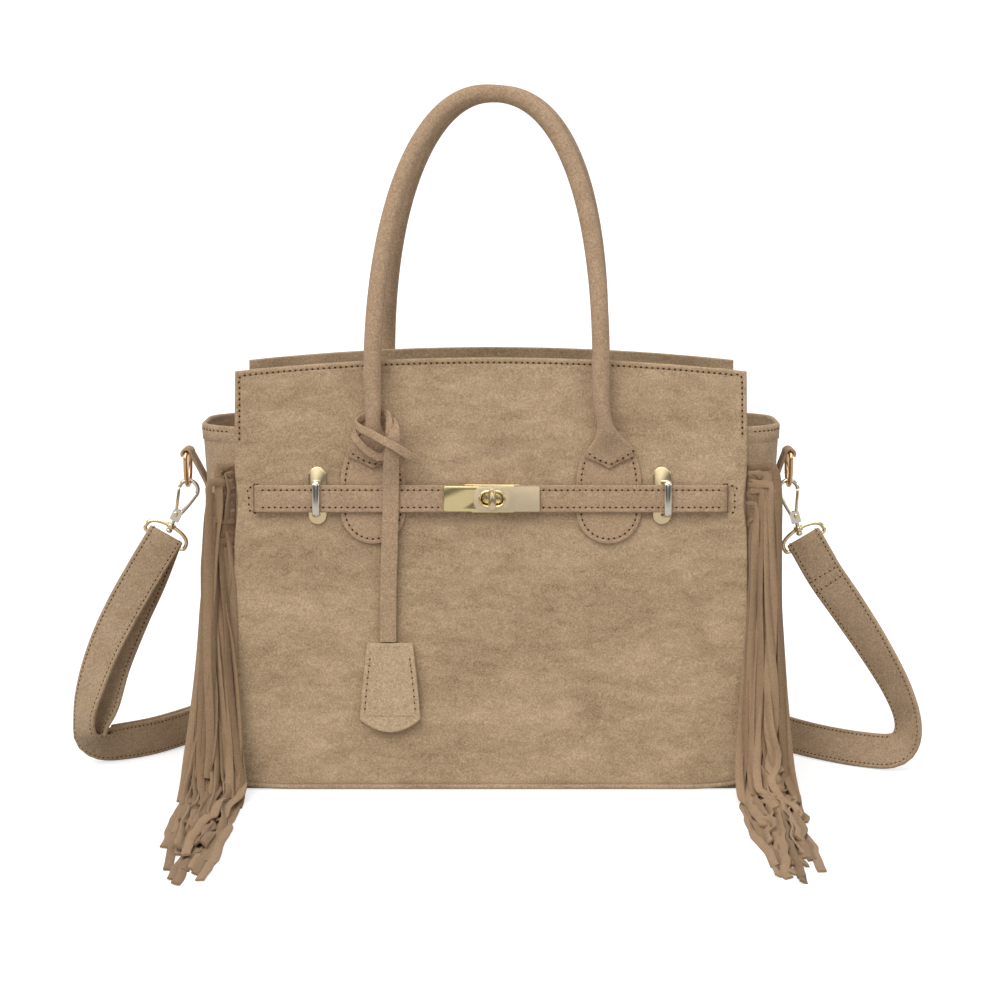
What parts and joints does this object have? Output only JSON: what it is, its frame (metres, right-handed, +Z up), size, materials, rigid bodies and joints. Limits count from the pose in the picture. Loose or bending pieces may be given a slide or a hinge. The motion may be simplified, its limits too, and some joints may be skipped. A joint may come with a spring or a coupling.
{
  "type": "fringed suede tote bag",
  "caption": "Structured faux suede tote with rolled handles, a belt with a turn lock, side fringes, a hanging bell tag and a clip-on shoulder strap.",
  "frame": {"origin": "centre of the base's underside, on the surface that the bag stands on", "axes": "+X to the viewer's right when facing the front, -Y towards the front, +Z up"},
  "size_m": [0.5817, 0.3898, 0.463],
  "materials": {
    "suede": "brushed faux suede nap, matt",
    "lining_cloth": "plain woven lining",
    "board": "plain stiff board",
    "pale_gold": "polished pale gold plating"
  },
  "bodies": {
    "root": {"base_panel": "suede", "front_panel": "suede", "back_panel": "suede", "left_gusset": "suede", "right_gusset": "suede", "front_handle": "suede", "back_handle": "suede", "front_left_tab": "suede", "front_right_tab": "suede", "back_left_tab": "suede", "back_right_tab": "suede", "left_belt": "suede", "right_belt": "suede", "left_ring_tab": "suede", "right_ring_tab": "suede", "shoulder_strap": "suede", "tag_lace": "suede", "tag_front": "suede", "tag_back": "suede", "left_fringe": "suede", "right_fringe": "suede", "lock_base_plate": "pale_gold", "left_lock_plate": "pale_gold", "right_lock_plate": "pale_gold", "left_staple_plate": "pale_gold", "right_staple_plate": "pale_gold", "left_staple_loop": "pale_gold", "right_staple_loop": "pale_gold", "left_d_ring": "pale_gold", "right_d_ring": "pale_gold", "left_strap_ring": "pale_gold", "right_strap_ring": "pale_gold", "strap_slider": "pale_gold", "lining": "lining_cloth", "base_board": "board"},
    "toggle": {"lock_toggle": "pale_gold"},
    "left_clasp": {"left_hook": "pale_gold", "left_gate_rivet": "pale_gold"},
    "right_clasp": {"right_hook": "pale_gold", "right_gate_rivet": "pale_gold"},
    "left_latch": {"left_gate": "pale_gold"},
    "right_latch": {"right_gate": "pale_gold"}
  },
  "joints": [
    {"name": "toggle_turn", "type": "hinge", "parent": "root", "child": "toggle", "pos_m": [0.0009, -0.06206, 0.19355], "axis": [0, -0.9962, 0.0874], "range_deg": [0, 90]},
    {"name": "left_swivel", "type": "hinge", "parent": "root", "child": "left_clasp", "pos_m": [-0.21823, 0, 0.16602], "axis": [0.4384, 0, 0.8988], "range_deg": [-25, 25]},
    {"name": "right_swivel", "type": "hinge", "parent": "root", "child": "right_clasp", "pos_m": [0.20942, 0, 0.16415], "axis": [-0.2588, 0, 0.9659], "range_deg": [-25, 25]},
    {"name": "left_gate_hinge", "type": "hinge", "parent": "left_clasp", "child": "left_latch", "pos_m": [-0.21474, 0, 0.17456], "axis": [0, 1, 0], "range_deg": [0, 17], "stiffness_Nm_per_rad": 0.02, "springref_deg": -20.05},
    {"name": "right_gate_hinge", "type": "hinge", "parent": "right_clasp", "child": "right_latch", "pos_m": [0.20762, 0, 0.17319], "axis": [0, -1, 0], "range_deg": [0, 17], "stiffness_Nm_per_rad": 0.02, "springref_deg": -20.05}
  ]
}
